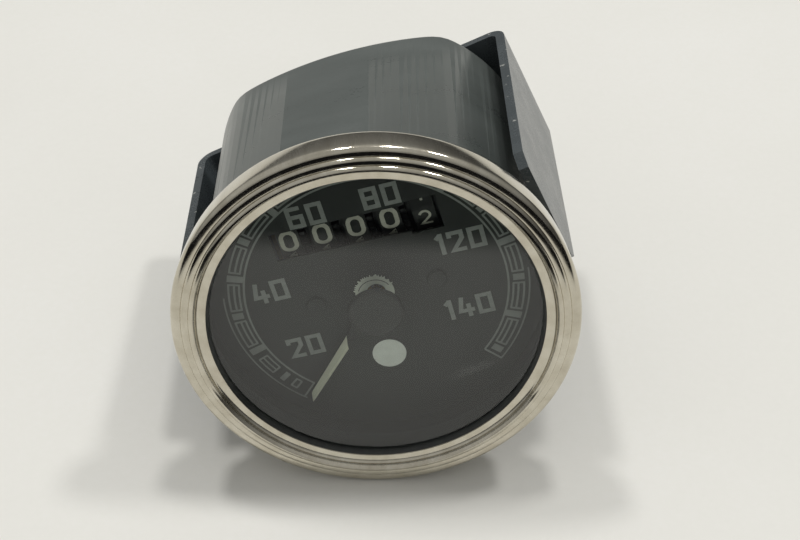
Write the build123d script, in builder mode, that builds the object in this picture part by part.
"""Vintage dashboard speedometer with a rimmed dial, a distance counter and a clamping bracket.

The dial faces -Y and its 12 o'clock points to +Z. The main axis is the Y axis, and y = 0 is
the back of the rim, which lies on the front of the panel. Sizes are in millimetres.
"""

import os
from math import asin, atan2, cos, degrees, pi, radians, sin, sqrt

from build123d import *

os.makedirs("parts", exist_ok=True)

# Rim, glass and dial
bezel_radius = 40.0
bezel_depth = 10.6
bezel_wall = 0.7
opening_radius = 33.3
gasket_inner_radius = 31.5
gasket_depth = 3.0
glass_thickness = 1.8
dial_depth = 13.0
dial_thickness = 0.6
seat_gap = 0.1

# Case, a drawn can with an outward flange that the rim is crimped round. Behind its round
# mouth it is flattened above and below, and turned a little from the dial's upright.
case_radius = 35.3
case_length = 54.4
case_wall = 0.7
case_back_wall = 0.8
case_back_round = 1.5
body_half_width = 33.9
body_half_height = 29.0
body_corner = 24.0
body_turn = 5.4
shoulder_gap = 1.5
flange_thickness = 0.8

# Clamping bracket, turned a little from the dial's upright
bracket_turn = 10.3
bracket_width = 27.0
bracket_rise = 1.8
bracket_thickness = 2.0
bracket_gap_to_case = 1.15
bracket_gap_to_panel_face = 3.8
bracket_behind_case = 5.0
bracket_bend_radius = 3.6
bracket_corner = 2.4
stud_radius = 2.0
stud_reach = 24.0
stud_past_bracket = 6.8

# Cable connection
spigot_radius = 9.0
spigot_length = 19.3
spigot_bore_radius = 6.2
spigot_bore_length = 14.0
spigot_root_radius = 8.0
spigot_collar = 1.0
spigot_chamfer = 0.8
seat_fit = 0.02
shaft_radius = 3.0
drive_square = 2.7
drive_square_depth = 8.0
bush_wall = 1.6
running = 0.05

# Distance counter
drum_radius = 8.9
drum_pitch = 6.85
drum_skirt = 4.5
drum_count = 5
drum_rise = 15.3
drum_behind_dial = 0.7
axle_radius = 1.1
counter_module = 0.75
counter_teeth = 20
carry_teeth = 8
carry_angle = 40.0
carry_lead = 27.0
carry_axle_radius = 0.7

# Worm drive from the cable to the counter
small_module = 0.4
first_wheel_teeth = 26
second_wheel_teeth = 28
transfer_teeth = 32
counter_drive_teeth = 44
first_worm_pitch_radius = 2.4
second_worm_pitch_radius = 2.0
transfer_rise = 2.4
train_shaft_radius = 1.0

# Pointer movement
pointer_angle = 222.5
pointer_length = 29.8
pointer_width = 2.3
pointer_depth = 10.0
pointer_thickness = 0.5
cap_radius = 5.2
cap_gap = 0.8
spindle_radius = 0.6
magnet_radius = 8.6
magnet_length = 4.7
cup_gap = 0.6
cup_wall = 0.6
ring_wall = 1.1
arm_inner = 14.0
bridge_half_width = 3.6
bridge_thickness = 1.6
post_reach = 12.5
dial_screw_radius = 0.9

# Places along the axis that follow from the sizes above
front = -bezel_depth
glass_front = front + gasket_depth
glass_back = glass_front + glass_thickness
dial_front = front + dial_depth
dial_back = dial_front + dial_thickness
flange_back = -bezel_wall - seat_gap
flange_front = flange_back - flange_thickness
case_inner_radius = case_radius - case_wall
case_inner_back = case_length - case_back_wall
mouth_end = dial_back + shoulder_gap
mouth_inner_end = mouth_end - case_wall
bracket_inner = case_radius + bracket_gap_to_case
bracket_outer = bracket_inner + bracket_thickness
bracket_tip = bracket_gap_to_panel_face
bracket_base = case_length + bracket_behind_case
bracket_back = bracket_base + bracket_thickness
spigot_end = case_length + spigot_length
stud_places = [
    (side * stud_reach * cos(radians(bracket_turn)), side * stud_reach * sin(radians(bracket_turn)))
    for side in (-1, 1)
]
rim_inner_radius = bezel_radius - bezel_wall - 0.4

# Counter places
drum_y = dial_back + drum_behind_dial + drum_radius
counter_half = drum_pitch * (drum_count - 1) / 2
drum_centres = [counter_half - drum_pitch * place for place in range(drum_count)]
drum_names = ["tenths", "units", "tens", "hundreds", "thousands"]
side_band = (drum_pitch - drum_skirt - 0.15) / 2
counter_pitch_radius = counter_module * counter_teeth / 2
carry_distance = counter_module * (counter_teeth + carry_teeth) / 2
carry_y = drum_y + carry_distance * cos(radians(carry_angle))
carry_z = drum_rise + carry_distance * sin(radians(carry_angle))
drive_gear_x = counter_half + drum_skirt / 2 + side_band - 0.05
drive_gear_width = 1.0
plate_thickness = 0.8
plate_left = -(counter_half + drum_skirt / 2 + side_band + 0.25)
plate_right = drive_gear_x + drive_gear_width + 0.3

# Gear train places
transfer_distance = small_module * (transfer_teeth + counter_drive_teeth) / 2
transfer_y = drum_y + sqrt(transfer_distance**2 - transfer_rise**2)
transfer_z = drum_rise + transfer_rise
first_wheel_radius = small_module * first_wheel_teeth / 2
second_wheel_radius = small_module * second_wheel_teeth / 2
worm_shaft_x = first_wheel_radius + first_worm_pitch_radius
worm_shaft_y = transfer_y + second_wheel_radius + second_worm_pitch_radius
worm_lead = pi * small_module
worm_run_in = 0.8
wheel_width = 1.6

# Movement places
cup_end = worm_shaft_y - first_wheel_radius - small_module - 0.7
magnet_back = cup_end - 0.3
magnet_front = magnet_back - magnet_length
cup_inner_radius = magnet_radius + cup_gap
cup_outer_radius = cup_inner_radius + cup_wall
cup_front = magnet_front - 1.9
shaft_tip = magnet_front - 0.6
ring_inner_radius = cup_outer_radius + 0.5
ring_outer_radius = ring_inner_radius + ring_wall
bridge_front = dial_back + 4.4
bridge_back = bridge_front + bridge_thickness
arm_right = plate_right
arm_left = plate_left
frame_disc_front = case_inner_back - 3.9
frame_disc_radius = 17.5
bush_back = spigot_end - spigot_bore_length
lamp_z = -21.0
lamp_radius = 5.0
case_screw_places = [(-10.5, 9.5), (10.5, -9.5)]
case_screw_radius = 1.5


def at(y):
    """Sketch plane across the axis at y: sketch x is X, sketch y is Z, and backwards is negative."""
    return Plane.XZ.offset(-y)


def across(x):
    """Sketch plane square to X at x: sketch x is Y, sketch y is Z."""
    return Plane.YZ.offset(x)


def bracket_plane(rise):
    """Plane of the bracket's U: sketch x runs along its base, sketch y backwards."""
    turn = radians(bracket_turn)
    along = Vector(cos(turn), 0, sin(turn))
    up = Vector(-sin(turn), 0, cos(turn))
    return Plane(origin=up * rise, x_dir=along, z_dir=up)


def save(piece, name):
    """Label a finished piece and write its file."""
    piece.part.label = name
    export_step(piece.part, f"parts/{name}.step")


def gear_face(module, teeth, bore, turn=0.0, every=1, kept=None, height=0.9):
    """Face of a small gear with straight-sided teeth, the first of them at the angle `turn`.

    `every` 2 leaves out each second tooth, and `kept` says how many there are in all.
    """
    pitch_radius = module * teeth / 2
    root = pitch_radius - 1.15 * module
    tip = pitch_radius + height * module
    root_half = 0.26 * pi * module
    tip_half = 0.13 * pi * module
    corners = []
    for tooth in range(0, kept or teeth, every):
        middle = radians(turn + tooth * 360 / teeth)
        for reach, half in ((root, -root_half), (tip, -tip_half), (tip, tip_half), (root, root_half)):
            angle = middle + atan2(half, reach)
            corners.append((reach * cos(angle), reach * sin(angle)))
    with BuildSketch() as face:
        if kept:
            Circle(root)
            corners.append((0, 0))
        Polygon(*corners, align=None)
        Circle(bore, mode=Mode.SUBTRACT)
    return face.sketch


# Rim: spun sheet with an outer roll, a groove, an inner roll and a thin lip, crimped at the back
lip_y = front + 1.2
roll_y = front + 1.0
with BuildPart() as bezel:
    with BuildSketch(Plane.XY):
        with BuildLine():
            lip_end = (opening_radius + 1.3, roll_y)
            groove = (bezel_radius - 2.5, front + 0.9)
            skirt_start = (bezel_radius, front + 2.6)
            crimp_edge = bezel_radius - 3.8
            ThreePointArc(lip_end, (opening_radius + 2.9, front), groove)
            ThreePointArc(groove, (bezel_radius - 0.75, front + 0.95), skirt_start)
            Polyline(
                skirt_start,
                (bezel_radius - 0.4, -2.8),
                (bezel_radius - 0.95, -0.85),
                (bezel_radius - 2.4, 0),
                (crimp_edge, 0),
                (crimp_edge, -bezel_wall),
                (bezel_radius - 2.4, -bezel_wall),
                (rim_inner_radius - 0.1, -1.8),
                (rim_inner_radius, -2.8),
                (rim_inner_radius + 0.25, front + 2.8),
                (bezel_radius - 1.5, front + 1.75),
                (bezel_radius - 2.6, front + 1.75),
                (opening_radius + 2.9, front + 1.2),
                (opening_radius + 1.4, front + 1.9),
                (opening_radius, front + 1.9),
                (opening_radius, lip_y),
                (opening_radius + 0.6, front + 0.55),
                lip_end,
            )
        make_face()
    revolve(axis=Axis.Y)
save(bezel, "bezel")

# Rubber ring that holds the glass, with a bevel that shows inside the lip
ring_reach = rim_inner_radius - 0.6
with BuildPart() as glass_gasket:
    with BuildSketch(Plane.XY):
        with BuildLine():
            Polyline(
                (opening_radius - 0.15, front + 1.3),
                (gasket_inner_radius, glass_front - 0.15),
                (gasket_inner_radius, glass_front),
                (ring_reach, glass_front),
                (ring_reach, front + 2.0),
                (opening_radius - 0.15, front + 2.0),
                close=True,
            )
        make_face()
    revolve(axis=Axis.Y)
save(glass_gasket, "glass_gasket")

with BuildPart() as glass:
    with BuildSketch(at(glass_front)):
        Circle(ring_reach)
    extrude(amount=-glass_thickness)
    chamfer(glass.edges().group_by(Axis.Y)[-1], 0.3)
save(glass, "glass")

# Spacer ring from the glass to the dial, with a neck inside the case's mouth
neck_radius = case_inner_radius - seat_gap
wall_radius = neck_radius - 0.7
with BuildPart() as dial_ring:
    with BuildSketch(Plane.XY):
        with BuildLine():
            Polyline(
                (wall_radius + 2.3, glass_back),
                (ring_reach, glass_back),
                (ring_reach, flange_front),
                (neck_radius, flange_front),
                (neck_radius, dial_front),
                (wall_radius, dial_front),
                (wall_radius, flange_front + 0.2),
                close=True,
            )
        make_face()
    revolve(axis=Axis.Y)
save(dial_ring, "dial_ring")

# Dial with the window of the distance counter, whose last place is taller
window_half = 3.1
last_window_half = 3.75
last_window_width = 6.4
dial_radius = neck_radius
last_drum = drum_centres[0]
row_end = last_drum - last_window_width / 2
row_start = drum_centres[-1] - 3.2
with BuildPart() as dial:
    with BuildSketch(at(dial_front)):
        Circle(dial_radius)
        with Locations(((row_start + row_end) / 2, drum_rise)):
            Rectangle(row_end - row_start + 0.02, 2 * window_half, mode=Mode.SUBTRACT)
        with Locations((last_drum, drum_rise)):
            Rectangle(last_window_width, 2 * last_window_half, mode=Mode.SUBTRACT)
        with Locations((post_reach, 0), (-post_reach, 0)):
            Circle(dial_screw_radius + 0.15, mode=Mode.SUBTRACT)
        Circle(1.9, mode=Mode.SUBTRACT)
    extrude(amount=-dial_thickness)
save(dial, "dial")

with BuildPart() as dial_screws:
    with BuildSketch(at(dial_front - 0.5)):
        with Locations((post_reach, 0), (-post_reach, 0)):
            Circle(2.0)
    extrude(amount=-0.5)
    with BuildSketch(at(dial_front)):
        with Locations((post_reach, 0), (-post_reach, 0)):
            Circle(dial_screw_radius)
    extrude(amount=-4.0)
    chamfer(dial_screws.edges().group_by(Axis.Y)[0], 0.2)
save(dial_screws, "dial_screws")

with BuildPart() as dial_posts:
    with BuildSketch(at(dial_back)):
        with Locations((post_reach, 0), (-post_reach, 0)):
            RegularPolygon(2.0, 6, rotation=30)
            Circle(dial_screw_radius + running, mode=Mode.SUBTRACT)
    extrude(amount=-(bridge_front - dial_back))
save(dial_posts, "dial_posts")

# Case: a round mouth with a flange, then the flattened body with holes in its back
flange_radius = bezel_radius - 2.4 - seat_gap


def body_outline(inset):
    """Outline of the case's body, drawn `inset` inside its outer face."""
    return RectangleRounded(
        2 * (body_half_width - inset),
        2 * (body_half_height - inset),
        body_corner - inset,
        rotation=body_turn,
    )


with BuildPart() as case:
    with BuildSketch(at(mouth_inner_end)):
        body_outline(0)
    extrude(amount=-(case_length - mouth_inner_end))
    fillet(case.edges().group_by(Axis.Y)[-1], case_back_round)
    with BuildSketch(at(flange_front)):
        Circle(case_radius)
    extrude(amount=-(mouth_end - flange_front))
    with BuildSketch(at(flange_front)):
        Circle(flange_radius)
    extrude(amount=-flange_thickness)
    with BuildSketch(at(flange_front)):
        Circle(case_inner_radius)
    extrude(amount=-(mouth_inner_end - flange_front), mode=Mode.SUBTRACT)
    with BuildSketch(at(mouth_inner_end)):
        body_outline(case_wall)
    extrude(amount=-(case_inner_back - mouth_inner_end), mode=Mode.SUBTRACT)
    with BuildSketch(at(case_inner_back - 1)):
        Circle(spigot_root_radius + 0.1)
        with Locations(*stud_places):
            Circle(stud_radius + running)
        with Locations(*case_screw_places):
            Circle(case_screw_radius + 0.15)
        with Locations((0, lamp_z)):
            Circle(lamp_radius + 0.1)
    extrude(amount=-(case_back_wall + 2), mode=Mode.SUBTRACT)
save(case, "case")

with BuildPart() as case_screws:
    with BuildSketch(at(case_length)):
        with Locations(*case_screw_places):
            Circle(2.8)
    extrude(amount=-1.8)
    with BuildSketch(at(case_length + 1.8 - 0.9)):
        with Locations(*case_screw_places):
            Rectangle(6, 0.8)
    extrude(amount=-1.2, mode=Mode.SUBTRACT)
    with BuildSketch(at(case_inner_back - 3.2)):
        with Locations(*case_screw_places):
            Circle(case_screw_radius)
    extrude(amount=-(case_back_wall + 3.2))
save(case_screws, "case_screws")

# Clamping bracket: a bent strip, whose legs press the panel against the rim
with BuildPart() as mounting_bracket:
    low = bracket_rise - bracket_width / 2
    with BuildSketch(bracket_plane(low)):
        with Locations((0, (bracket_tip + bracket_back) / 2)):
            Rectangle(2 * bracket_outer, bracket_back - bracket_tip)
        fillet(vertices(Select.LAST).group_by(Axis.Y)[-1], bracket_bend_radius)
    extrude(amount=bracket_width)
    with BuildSketch(bracket_plane(low)):
        with Locations((0, (bracket_tip + bracket_base) / 2 - 1)):
            Rectangle(2 * bracket_inner, bracket_base - bracket_tip + 2)
        fillet(
            vertices(Select.LAST).group_by(Axis.Y)[-1], bracket_bend_radius - bracket_thickness
        )
    extrude(amount=bracket_width, mode=Mode.SUBTRACT)
    tips = mounting_bracket.faces().group_by(Axis.Y)[0]
    corners = [
        edge
        for face in tips
        for edge in face.edges()
        if abs(edge.length - bracket_thickness) < 0.01
    ]
    chamfer(corners, bracket_corner)
    with BuildSketch(at(bracket_base - 1)):
        Circle(spigot_radius + 2.6)
        with Locations(*stud_places):
            SlotOverall(3 * stud_radius + 0.6, 2 * stud_radius + 0.6, rotation=bracket_turn)
    extrude(amount=-(bracket_thickness + 2), mode=Mode.SUBTRACT)
save(mounting_bracket, "mounting_bracket")

washer_thickness = 0.8
nut_height = 3.2
nut_flats = 7.0
stud_head = 0.9
with BuildPart() as bracket_studs:
    with BuildSketch(at(case_inner_back - stud_head)):
        with Locations(*stud_places):
            Circle(2.5)
    extrude(amount=-stud_head)
    with BuildSketch(at(case_inner_back)):
        with Locations(*stud_places):
            Circle(stud_radius)
    extrude(amount=-(bracket_back + stud_past_bracket - case_inner_back))
    chamfer(bracket_studs.edges().group_by(Axis.Y)[-1], 0.5)
save(bracket_studs, "bracket_studs")

with BuildPart() as bracket_washers:
    with BuildSketch(at(bracket_back)):
        with Locations(*stud_places):
            Circle(4.5)
            Circle(stud_radius + 0.15, mode=Mode.SUBTRACT)
    extrude(amount=-washer_thickness)
save(bracket_washers, "bracket_washers")

with BuildPart() as bracket_nuts:
    with BuildSketch(at(bracket_back + washer_thickness)):
        with Locations(*stud_places):
            RegularPolygon(nut_flats / 2, 6, major_radius=False)
            Circle(stud_radius + running, mode=Mode.SUBTRACT)
    extrude(amount=-nut_height)
save(bracket_nuts, "bracket_nuts")

# Die-cast frame of the movement: a disc on the case's back, two arms forwards and a side wall
lug_half = 2.8
lug_thickness = 2.6
upper_lug = transfer_z + 4.8
lower_lug = -6.5
boss_radius = train_shaft_radius + 1.6
boss_start = worm_shaft_x + 2.0
wall_inner = arm_inner
wall_outer = drive_gear_x - 0.8
wall_front = drum_y + small_module * counter_drive_teeth / 2 + 2.4
wall_back = worm_shaft_y + 6.0
wall_top = upper_lug + lug_thickness
arm_half = 5.0
with BuildPart() as movement_frame:
    with BuildSketch(at(frame_disc_front)):
        Circle(frame_disc_radius)
        with Locations(((arm_left + arm_right) / 2, 0)):
            Rectangle(arm_right - arm_left, 2 * arm_half)
        with Locations((0, lamp_z)):
            Circle(lamp_radius + 1.2, mode=Mode.SUBTRACT)
    extrude(amount=-(case_inner_back - frame_disc_front))
    with BuildSketch(at(bridge_back)):
        with Locations(((arm_inner + arm_right) / 2, 0)):
            Rectangle(arm_right - arm_inner, 2 * arm_half)
        with Locations(((arm_left - arm_inner) / 2, 0)):
            Rectangle(-arm_left - arm_inner, 2 * arm_half)
    extrude(amount=-(frame_disc_front - bridge_back))
    with BuildSketch(across(wall_inner)):
        with Locations(((wall_front + wall_back) / 2, (wall_top + lower_lug - lug_thickness) / 2)):
            Rectangle(wall_back - wall_front, wall_top - lower_lug + lug_thickness)
        fillet(vertices(Select.LAST).group_by(Axis.Z)[-1], 3.0)
    extrude(amount=wall_outer - wall_inner)
    with BuildSketch(across(worm_shaft_x - lug_half)):
        for height in (upper_lug, lower_lug - lug_thickness):
            with Locations((worm_shaft_y, height + lug_thickness / 2)):
                Rectangle(2 * lug_half, lug_thickness)
    extrude(amount=wall_inner - worm_shaft_x + lug_half)
    with BuildSketch(across(boss_start)):
        with Locations((transfer_y, transfer_z)):
            Circle(boss_radius)
    extrude(amount=wall_inner - boss_start)
    with BuildSketch(across(boss_start - 1)):
        with Locations((transfer_y, transfer_z)):
            Circle(train_shaft_radius + running)
    extrude(amount=wall_outer - boss_start + 2, mode=Mode.SUBTRACT)
    with BuildSketch(Plane.XY.offset(lower_lug - lug_thickness - 1)):
        with Locations((worm_shaft_x, worm_shaft_y)):
            Circle(train_shaft_radius + running)
    extrude(amount=wall_top - lower_lug + lug_thickness + 2, mode=Mode.SUBTRACT)
    with BuildSketch(at(frame_disc_front - 1)):
        Circle(spigot_root_radius)
    extrude(amount=-(case_inner_back - frame_disc_front + 2), mode=Mode.SUBTRACT)
    with BuildSketch(at(case_inner_back - 3.3)):
        with Locations(*case_screw_places):
            Circle(case_screw_radius + running)
    extrude(amount=-3.3, mode=Mode.SUBTRACT)
    screw_reach = arm_inner + 1.95
    with BuildSketch(at(bridge_back)):
        with Locations((screw_reach, 0), (-screw_reach, 0)):
            Circle(1.05)
    extrude(amount=-6.0, mode=Mode.SUBTRACT)
save(movement_frame, "movement_frame")

# Cable spigot: a turned tube pressed into the frame's disc, with a collar on the case's back
with BuildPart() as cable_spigot:
    with BuildSketch(Plane.XY):
        Polygon(
            (shaft_radius + bush_wall, frame_disc_front),
            (spigot_root_radius - seat_fit, frame_disc_front),
            (spigot_root_radius - seat_fit, case_length),
            (spigot_radius + 1.2, case_length),
            (spigot_radius + 1.2, case_length + spigot_collar),
            (spigot_radius, case_length + spigot_collar),
            (spigot_radius, spigot_end - spigot_chamfer),
            (spigot_radius - spigot_chamfer, spigot_end),
            (spigot_bore_radius, spigot_end),
            (spigot_bore_radius, bush_back),
            (shaft_radius + bush_wall, bush_back),
            align=None,
        )
    revolve(axis=Axis.Y)
save(cable_spigot, "cable_spigot")

with BuildPart() as drive_bush:
    with BuildSketch(at(frame_disc_front)):
        Circle(shaft_radius + bush_wall - 0.02)
        Circle(shaft_radius + running, mode=Mode.SUBTRACT)
    extrude(amount=-(bush_back - frame_disc_front))
save(drive_bush, "drive_bush")

# Front bridge, which carries the dial and the pointer's upper bearing
bearing_radius = 1.8
with BuildPart() as bridge:
    with BuildSketch(at(bridge_front)):
        with Locations(((arm_left + arm_right) / 2, 0)):
            Rectangle(arm_right - arm_left, 2 * bridge_half_width)
        Circle(bearing_radius, mode=Mode.SUBTRACT)
        with Locations((screw_reach, 0), (-screw_reach, 0)):
            Circle(1.15, mode=Mode.SUBTRACT)
    extrude(amount=-bridge_thickness)
save(bridge, "bridge")

with BuildPart() as bridge_screws:
    with BuildSketch(at(bridge_front - 1.4)):
        with Locations((screw_reach, 0), (-screw_reach, 0)):
            Circle(1.6)
    extrude(amount=-1.4)
    with BuildSketch(at(bridge_front)):
        with Locations((screw_reach, 0), (-screw_reach, 0)):
            Circle(1.0)
    extrude(amount=-(bridge_thickness + 5.0))
save(bridge_screws, "bridge_screws")

with BuildPart() as upper_bearing:
    with BuildSketch(at(bridge_front - 0.6)):
        Circle(bearing_radius - 0.02)
        Circle(spindle_radius + running, mode=Mode.SUBTRACT)
    extrude(amount=-(bridge_thickness + 1.0))
save(upper_bearing, "upper_bearing")

# Field ring of soft iron round the drag cup, held between the arms by two ears
ring_front = magnet_front - 0.4
with BuildPart() as field_ring:
    with BuildSketch(at(ring_front)):
        Circle(ring_outer_radius)
        Rectangle(2 * arm_inner, 5.0)
        Circle(ring_inner_radius, mode=Mode.SUBTRACT)
    extrude(amount=-(cup_end - ring_front))
save(field_ring, "field_ring")

# Hairspring: a flat spiral of half turns between its collet and a stud on the bridge
spring_y = bridge_front - 2.2
spring_height = 0.8
spring_start = 1.45
spring_step = 0.54
spring_half_turns = 7
with BuildPart() as hairspring:
    with BuildSketch(at(spring_y)):
        with BuildLine():
            reach = spring_start
            side = 1
            for half_turn in range(spring_half_turns):
                following = reach + spring_step
                middle = side * (reach - following) / 2
                rise = side * (reach + following) / 2
                ThreePointArc((side * reach, 0), (middle, rise), (-side * following, 0))
                reach = following
                side = -side
        trace(line_width=0.16)
    extrude(amount=-spring_height)
save(hairspring, "hairspring")

spring_end = spring_start + spring_step * spring_half_turns
spring_end_side = -1 if spring_half_turns % 2 else 1
with BuildPart() as spring_stud:
    with BuildSketch(at(spring_y - 0.4)):
        with Locations((spring_end_side * (spring_end + 0.75), 0)):
            Circle(0.6)
    extrude(amount=-(bridge_front - spring_y + 0.4))
save(spring_stud, "spring_stud")

# Stop for the pointer at zero: a pin on the back of the bridge and an arm on the spindle
stop_reach = 3.0
stop_angle = radians(90 - pointer_angle)
stop_gap_angle = asin((0.6 + 0.5 + 0.2) / stop_reach)
pin_angle = stop_angle + stop_gap_angle
stop_y = bridge_back + 1.2
with BuildPart() as stop_pin:
    with BuildSketch(at(bridge_back)):
        with Locations((stop_reach * cos(pin_angle), stop_reach * sin(pin_angle))):
            Circle(0.6)
    extrude(amount=-2.2)
save(stop_pin, "stop_pin")

# Pointer: a thin blade with a folded outer part, a tail and a hub on the spindle
pointer_front = front + pointer_depth
cap_front = glass_back + cap_gap
tail_length = 7.0
fold_start = 11.5
fold_height = 0.45
toward = radians(90 - pointer_angle)
pointer_axes = Plane(
    origin=(0, pointer_front, 0),
    x_dir=(cos(toward), 0, sin(toward)),
    z_dir=(0, -1, 0),
)
with BuildPart() as pointer:
    with BuildSketch(pointer_axes):
        half = pointer_width / 2
        Polygon(
            (-tail_length, -1.6),
            (0, -2.2),
            (fold_start, -half),
            (pointer_length - 1.8, -half),
            (pointer_length, half),
            (fold_start, half),
            (0, 2.2),
            (-tail_length, 1.6),
            align=None,
        )
        Circle(3.0)
    extrude(amount=-pointer_thickness)
    fold_plane = Plane(
        origin=pointer_axes.from_local_coords(Vector(fold_start, 0, 0)),
        x_dir=pointer_axes.y_dir,
        z_dir=pointer_axes.x_dir,
    )
    with BuildSketch(fold_plane):
        Polygon((-half, 0), (half, 0), (0, fold_height), align=None)
    extrude(amount=pointer_length - fold_start - 2.0)
    with BuildSketch(pointer_axes):
        Circle(1.6)
    extrude(amount=-1.6)
    with BuildSketch(pointer_axes.offset(1)):
        Circle(spindle_radius)
    extrude(amount=-5, mode=Mode.SUBTRACT)
save(pointer, "pointer")

with BuildPart() as pointer_cap:
    with BuildSketch(Plane.XY):
        with BuildLine():
            Polyline(
                (0, cap_front),
                (cap_radius - 0.9, cap_front),
                (cap_radius, cap_front + 0.7),
                (cap_radius, pointer_front - 0.9),
                (cap_radius - 0.6, pointer_front - 0.9),
                (cap_radius - 0.6, cap_front + 1.2),
                (1.4, cap_front + 1.2),
                (1.4, pointer_front),
                (spindle_radius + 0.2, pointer_front),
                (spindle_radius + 0.2, cap_front + 1.2),
                (0, cap_front + 1.2),
                close=True,
            )
        make_face()
    revolve(axis=Axis.Y)
save(pointer_cap, "pointer_cap")

spindle_front = cap_front + 1.6
spindle_back = shaft_tip + 1.9
with BuildPart() as spindle:
    with BuildSketch(at(spindle_front)):
        Circle(spindle_radius)
    extrude(amount=-(spindle_back - spindle_front))
    with BuildSketch(at(spring_y)):
        Circle(1.3)
    extrude(amount=-1.2)
    stop_axes = Plane(origin=(0, stop_y, 0), x_dir=pointer_axes.x_dir, z_dir=(0, -1, 0))
    with BuildSketch(stop_axes):
        Circle(1.2)
        with Locations((2.1, 0)):
            Rectangle(4.2, 1.0)
    extrude(amount=-0.8)
save(spindle, "spindle")

# Drag cup of aluminium, fixed to the spindle, round the magnet
with BuildPart() as speed_cup:
    with BuildSketch(at(cup_front)):
        Circle(cup_outer_radius)
        Circle(spindle_radius, mode=Mode.SUBTRACT)
    extrude(amount=-(cup_end - cup_front))
    with BuildSketch(at(cup_front + cup_wall)):
        Circle(cup_inner_radius)
    extrude(amount=-(cup_end - cup_front), mode=Mode.SUBTRACT)
    with BuildSketch(at(cup_front - 1.0)):
        Circle(1.8)
        Circle(spindle_radius, mode=Mode.SUBTRACT)
    extrude(amount=-1.0)
save(speed_cup, "speed_cup")


def worm(length, pitch_radius):
    """Single-start worm on the Z axis from z = 0: a core with one raised helical thread."""
    root = pitch_radius - small_module
    half_root = 0.17 * worm_lead
    half_tip = 0.10 * worm_lead
    height = 1.9 * small_module
    threaded = length - 2 * worm_run_in * worm_lead
    with BuildPart() as thread:
        with BuildLine() as path:
            Helix(pitch=worm_lead, height=threaded, radius=root - 0.1)
        with BuildSketch(Plane(origin=path.line @ 0, x_dir=(1, 0, 0), z_dir=(0, 1, 0))):
            Polygon(
                (0, -half_root),
                (height, -half_tip),
                (height, half_tip),
                (0, half_root),
                align=None,
            )
        sweep(path=path.line, is_frenet=True)
    with BuildPart() as body:
        with BuildSketch(Plane.XY):
            Circle(root)
        extrude(amount=length)
        with Locations((0, 0, worm_run_in * worm_lead)):
            add(thread.part)
    return body.part


# Drive shaft from the cable's square to the magnet, with the first worm
worm_length = 2 * worm_lead * (worm_run_in + 1.5)
shaft_back = bush_back - 0.4
first_worm_front = worm_shaft_y - worm_length / 2
with BuildPart() as drive_shaft:
    with Locations(Plane.XZ.offset(-first_worm_front - worm_length)):
        add(worm(worm_length, first_worm_pitch_radius))
    with BuildSketch(at(shaft_tip)):
        Circle(1.5)
    extrude(amount=-(first_worm_front - shaft_tip))
    with BuildSketch(at(first_worm_front + worm_length)):
        Circle(shaft_radius)
    extrude(amount=-(shaft_back - first_worm_front - worm_length))
    with BuildSketch(at(shaft_back)):
        Rectangle(drive_square, drive_square)
    extrude(amount=drive_square_depth, mode=Mode.SUBTRACT)
    with BuildSketch(at(shaft_tip)):
        Circle(spindle_radius + running)
    extrude(amount=-2.2, mode=Mode.SUBTRACT)
save(drive_shaft, "drive_shaft")

with BuildPart() as magnet:
    with BuildSketch(at(magnet_front)):
        Circle(magnet_radius)
        with Locations((0, magnet_radius + 1.5), (0, -magnet_radius - 1.5)):
            Rectangle(5.0, 7.0, mode=Mode.SUBTRACT)
        Circle(1.5, mode=Mode.SUBTRACT)
    extrude(amount=-magnet_length)
save(magnet, "magnet")

# Upright worm shaft: driven by the first worm, drives the transfer shaft
second_worm_length = 2 * worm_lead * (worm_run_in + 1.25)
with BuildPart() as worm_shaft:
    with BuildSketch(Plane.XY.offset(lower_lug - lug_thickness)):
        with Locations((worm_shaft_x, worm_shaft_y)):
            Circle(train_shaft_radius)
    extrude(amount=wall_top - lower_lug + lug_thickness)
    with Locations((worm_shaft_x, worm_shaft_y, transfer_z - second_worm_length / 2)):
        add(worm(second_worm_length, second_worm_pitch_radius))
save(worm_shaft, "worm_shaft")

with BuildPart() as worm_wheel:
    with BuildSketch(Plane.XY.offset(-wheel_width / 2)):
        with Locations((worm_shaft_x, worm_shaft_y)):
            add(gear_face(small_module, first_wheel_teeth, train_shaft_radius, 180, height=0.6))
    extrude(amount=wheel_width)
    with BuildSketch(Plane.XY.offset(wheel_width / 2)):
        with Locations((worm_shaft_x, worm_shaft_y)):
            Circle(2.2)
            Circle(train_shaft_radius, mode=Mode.SUBTRACT)
    extrude(amount=2.4)
save(worm_wheel, "worm_wheel")

# Transfer shaft across the case, with a worm wheel inside and a gear outside the frame's wall
with BuildPart() as transfer_shaft:
    with BuildSketch(across(worm_shaft_x - wheel_width / 2 - 0.8)):
        with Locations((transfer_y, transfer_z)):
            Circle(train_shaft_radius)
    extrude(amount=plate_right + plate_thickness + 0.5 - worm_shaft_x + wheel_width / 2 + 0.8)
save(transfer_shaft, "transfer_shaft")

with BuildPart() as transfer_wheel:
    with BuildSketch(across(worm_shaft_x - wheel_width / 2)):
        with Locations((transfer_y, transfer_z)):
            add(gear_face(small_module, second_wheel_teeth, train_shaft_radius, 0, height=0.6))
    extrude(amount=wheel_width)
save(transfer_wheel, "transfer_wheel")

mesh_angle = degrees(asin(transfer_rise / transfer_distance))
with BuildPart() as transfer_gear:
    with BuildSketch(across(drive_gear_x)):
        with Locations((transfer_y, transfer_z)):
            add(
                gear_face(
                    small_module, transfer_teeth, train_shaft_radius, 180 + mesh_angle, height=0.8
                )
            )
    extrude(amount=drive_gear_width)
save(transfer_gear, "transfer_gear")

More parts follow.
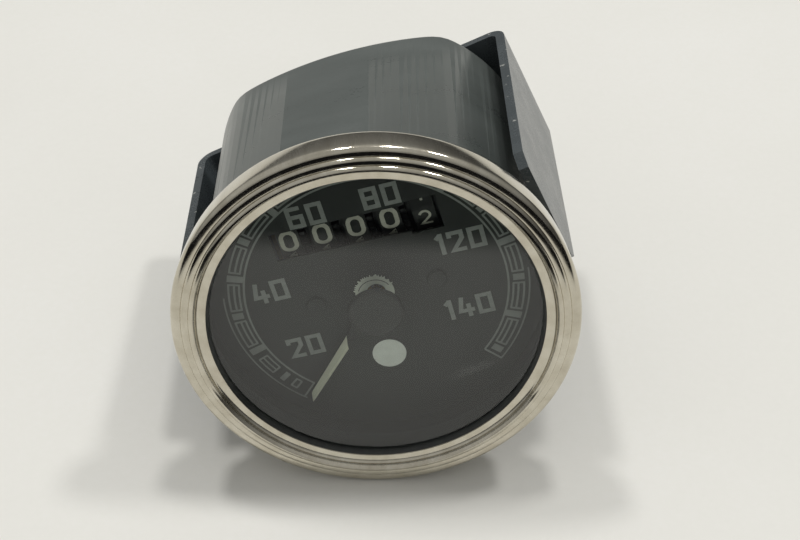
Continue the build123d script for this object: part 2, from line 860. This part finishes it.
# Counter drums, from the tenths at the right to the thousands at the left. Each has a gear at
# its right for the pinion of its own place, and two carry teeth at its left for the next one.
for place, centre in enumerate(drum_centres):
    left = centre - drum_skirt / 2
    right = centre + drum_skirt / 2
    with BuildPart() as drum:
        with BuildSketch(across(left)):
            with Locations((drum_y, drum_rise)):
                Circle(drum_radius)
                Circle(axle_radius + running, mode=Mode.SUBTRACT)
        extrude(amount=drum_skirt)
        if place == 0:
            hub_end = drive_gear_x
            with BuildSketch(across(right)):
                with Locations((drum_y, drum_rise)):
                    Circle(counter_pitch_radius)
                    Circle(axle_radius + running, mode=Mode.SUBTRACT)
            extrude(amount=hub_end - right)
            with BuildSketch(across(hub_end)):
                with Locations((drum_y, drum_rise)):
                    add(
                        gear_face(
                            small_module,
                            counter_drive_teeth,
                            axle_radius + running,
                            mesh_angle + 180 / counter_drive_teeth,
                            height=0.8,
                        )
                    )
            extrude(amount=drive_gear_width)
        else:
            with BuildSketch(across(right)):
                with Locations((drum_y, drum_rise)):
                    add(
                        gear_face(
                            counter_module,
                            counter_teeth,
                            axle_radius + running,
                            carry_angle + 180 / counter_teeth,
                            height=0.8,
                        )
                    )
            extrude(amount=side_band)
        if place < drum_count - 1:
            with BuildSketch(across(left - side_band)):
                with Locations((drum_y, drum_rise)):
                    add(
                        gear_face(
                            counter_module,
                            counter_teeth,
                            axle_radius + running,
                            carry_angle + carry_lead,
                            kept=2,
                            height=0.8,
                        )
                    )
            extrude(amount=side_band)
    save(drum, f"drum_{drum_names[place]}")

# Carry pinions: eight short teeth for the higher drum's gear, four long ones for the lower drum
for place in range(drum_count - 1):
    boundary = (drum_centres[place] + drum_centres[place + 1]) / 2
    with BuildPart() as pinion:
        with BuildSketch(across(boundary - side_band + 0.02)):
            with Locations((carry_y, carry_z)):
                add(
                    gear_face(
                        counter_module,
                        carry_teeth,
                        carry_axle_radius + running,
                        180 + carry_angle,
                        height=0.8,
                    )
                )
        extrude(amount=side_band)
        with BuildSketch(across(boundary)):
            with Locations((carry_y, carry_z)):
                add(
                    gear_face(
                        counter_module,
                        carry_teeth,
                        carry_axle_radius + running,
                        180 + carry_angle + 45,
                        every=2,
                        height=0.8,
                    )
                )
        extrude(amount=side_band - 0.02)
    save(pinion, f"carry_pinion_{drum_names[place + 1]}")

# Axles and side plates of the counter
axle_start = plate_left - plate_thickness - 0.5
axle_end = plate_right + plate_thickness + 0.5
with BuildPart() as drum_axle:
    with BuildSketch(across(axle_start)):
        with Locations((drum_y, drum_rise)):
            Circle(axle_radius)
    extrude(amount=axle_end - axle_start)
save(drum_axle, "drum_axle")

with BuildPart() as pinion_axle:
    with BuildSketch(across(axle_start)):
        with Locations((carry_y, carry_z)):
            Circle(carry_axle_radius)
    extrude(amount=axle_end - axle_start)
save(pinion_axle, "pinion_axle")

foot_back = drum_y + 12.0
plate_screw_y = foot_back - 3.0
with BuildPart() as counter_plate_left:
    with BuildSketch(across(plate_left - plate_thickness)):
        with BuildLine():
            Polyline(
                (bridge_back + 0.3, -arm_half + 1),
                (foot_back, -arm_half + 1),
                (foot_back, arm_half - 1),
                (drum_y + 4.5, drum_rise - 4),
                (carry_y + 2.2, carry_z),
                (carry_y, carry_z + 2.2),
                (carry_y - 2.2, carry_z + 1.2),
                (drum_y - 3.2, drum_rise + 2.4),
                (drum_y - 3.2, arm_half),
                (bridge_back + 0.3, arm_half - 1),
                close=True,
            )
        make_face()
        with Locations((drum_y, drum_rise)):
            Circle(axle_radius + 0.01, mode=Mode.SUBTRACT)
        with Locations((carry_y, carry_z)):
            Circle(carry_axle_radius + 0.01, mode=Mode.SUBTRACT)
        with Locations((plate_screw_y, 0)):
            Circle(1.1, mode=Mode.SUBTRACT)
    extrude(amount=plate_thickness)
save(counter_plate_left, "counter_plate_left")

with BuildPart() as counter_plate_right:
    with BuildSketch(across(plate_right)):
        with BuildLine():
            Polyline(
                (bridge_back + 0.3, -arm_half + 1),
                (foot_back, -arm_half + 1),
                (transfer_y + 3.0, transfer_z - 3.0),
                (transfer_y + 3.0, transfer_z + 2.0),
                (transfer_y + 1.0, transfer_z + 3.5),
                (carry_y + 2.2, carry_z + 1.0),
                (carry_y, carry_z + 2.2),
                (carry_y - 2.2, carry_z + 1.2),
                (drum_y - 3.2, drum_rise + 2.4),
                (drum_y - 3.2, arm_half),
                (bridge_back + 0.3, arm_half - 1),
                close=True,
            )
        make_face()
        with Locations((drum_y, drum_rise)):
            Circle(axle_radius + 0.01, mode=Mode.SUBTRACT)
        with Locations((carry_y, carry_z)):
            Circle(carry_axle_radius + 0.01, mode=Mode.SUBTRACT)
        with Locations((transfer_y, transfer_z)):
            Circle(train_shaft_radius + running, mode=Mode.SUBTRACT)
        with Locations((plate_screw_y, 0)):
            Circle(1.1, mode=Mode.SUBTRACT)
    extrude(amount=plate_thickness)
save(counter_plate_right, "counter_plate_right")

with BuildPart() as counter_plate_screws:
    for face_x, direction in ((plate_right + plate_thickness, 1), (plate_left - plate_thickness, -1)):
        with BuildSketch(across(face_x)):
            with Locations((plate_screw_y, 0)):
                Circle(1.9)
        extrude(amount=direction * 1.2)
        with BuildSketch(across(face_x)):
            with Locations((plate_screw_y, 0)):
                Circle(1.0)
        extrude(amount=-direction * plate_thickness)
save(counter_plate_screws, "counter_plate_screws")

# Dial lamp: a push-in holder in the case's back, and its bulb
with BuildPart() as lamp_holder:
    with BuildSketch(at(case_length)):
        with Locations((0, lamp_z)):
            Circle(lamp_radius + 1.2)
    extrude(amount=-0.8)
    with BuildSketch(at(case_length + 0.8)):
        with Locations((0, lamp_z)):
            Circle(lamp_radius - 0.4)
    extrude(amount=-6.5)
    with BuildSketch(at(case_length + 7.3)):
        with Locations((0, lamp_z)):
            Rectangle(1.0, 4.0)
    extrude(amount=-5.0)
    with BuildSketch(at(case_length - 7)):
        with Locations((0, lamp_z)):
            Circle(lamp_radius)
            Circle(lamp_radius - 0.5, mode=Mode.SUBTRACT)
    extrude(amount=-7)
save(lamp_holder, "lamp_holder")

bulb_radius = 4.0
with BuildPart() as bulb:
    with BuildSketch(at(case_length - 14)):
        with Locations((0, lamp_z)):
            Circle(bulb_radius)
    extrude(amount=-7)
    fillet(bulb.edges().group_by(Axis.Y)[0], 3.4)
    with BuildSketch(at(case_length - 7)):
        with Locations((0, lamp_z)):
            Circle(bulb_radius)
    extrude(amount=-7)
save(bulb, "bulb")
